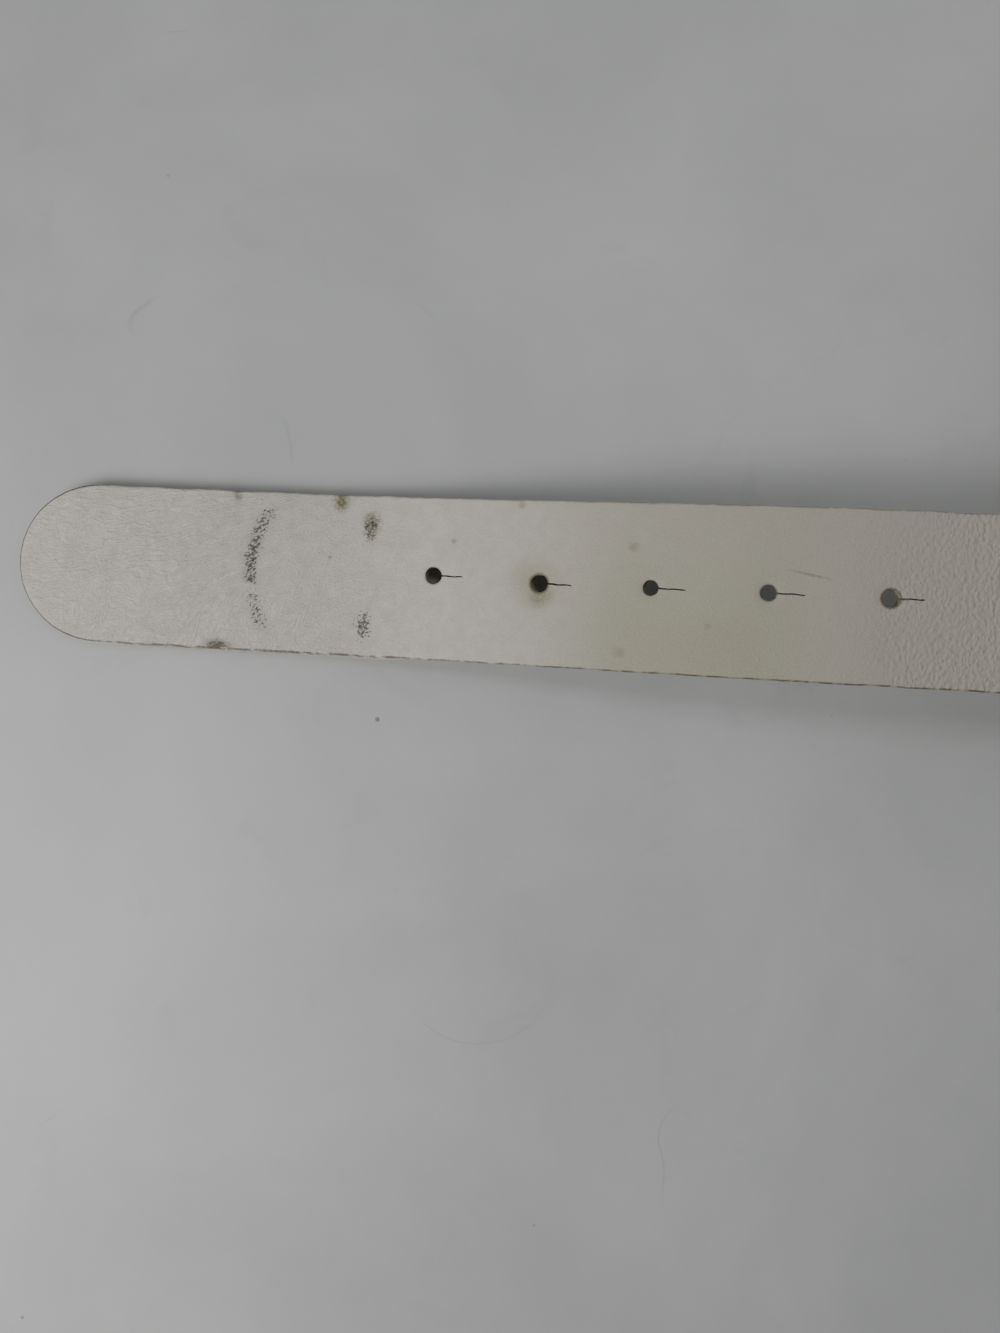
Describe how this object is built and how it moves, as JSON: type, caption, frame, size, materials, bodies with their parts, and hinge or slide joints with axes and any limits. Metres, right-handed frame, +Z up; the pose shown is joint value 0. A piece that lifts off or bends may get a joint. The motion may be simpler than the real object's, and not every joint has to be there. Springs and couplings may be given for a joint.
{
  "type": "waist belt",
  "caption": "White leather waist belt with keyhole stud holes near its rounded tip, and a brass plate buckle whose stud hooks into them, laid down in one open loop.",
  "frame": {"origin": "on the underside of the tail, at the centre of its rounded end's arc", "axes": "+X from the tip along the tail towards the buckle, +Y across the tail towards its left edge, +Z up from the floor"},
  "size_m": [0.4563, 0.2291, 0.0451],
  "materials": {
    "white_leather": "finished grain, slightly worn",
    "bonded_core": "bonded leather board",
    "lining_leather": "matte",
    "pale_brass": "satin",
    "nickel_steel": "nickel-plated"
  },
  "bodies": {
    "loop": {"face_loop_outer": "white_leather", "core_loop_outer": "bonded_core", "lining_loop_outer": "lining_leather"},
    "tail": {"face_tail": "white_leather", "core_tail": "bonded_core", "lining_tail": "lining_leather"},
    "loop_inner": {"face_loop_inner": "white_leather", "core_loop_inner": "bonded_core", "lining_loop_inner": "lining_leather"},
    "buckle_end": {"face_end": "white_leather", "core_end": "bonded_core", "lining_end": "lining_leather", "snap_post_lower": "nickel_steel", "snap_post_upper": "nickel_steel", "snap_stud_lower": "nickel_steel", "snap_stud_upper": "nickel_steel"},
    "flap": {"flap": "white_leather", "snap_socket_lower": "nickel_steel", "snap_socket_upper": "nickel_steel", "snap_cap_lower": "nickel_steel", "snap_cap_upper": "nickel_steel"},
    "buckle": {"buckle_plate": "pale_brass", "hinge_bar": "nickel_steel", "hook_stud": "pale_brass"},
    "keeper": {"keeper_band": "white_leather", "keeper_staple": "nickel_steel"}
  },
  "joints": [
    {"name": "tail_bend", "type": "hinge", "parent": "loop", "child": "tail", "pos_m": [0.20971, 0, 0.0208], "axis": [0, 1, 0], "range_deg": [0, 60]},
    {"name": "loop_bend", "type": "hinge", "parent": "loop", "child": "loop_inner", "pos_m": [0.40418, 0.18155, 0.019], "axis": [0, 0, -1], "range_deg": [0, 50]},
    {"name": "end_bend", "type": "hinge", "parent": "loop_inner", "child": "buckle_end", "pos_m": [0.24377, 0.06369, 0.02234], "axis": [0.0068, -0.0055, -1], "range_deg": [0, 25]},
    {"name": "flap_open", "type": "hinge", "parent": "buckle_end", "child": "flap", "pos_m": [0.34929, 0.09243, 0.0225], "axis": [0, 0, -1], "range_deg": [0, 110]},
    {"name": "buckle_swing", "type": "hinge", "parent": "buckle_end", "child": "buckle", "pos_m": [0.3525, 0.09029, 0.0225], "axis": [0, 0, 1], "range_deg": [-6, 70]},
    {"name": "keeper_slide", "type": "slide", "parent": "buckle_end", "child": "keeper", "axis": [0.9063, 0.4226, 0], "range_m": [-0.004, 0.006]}
  ]
}
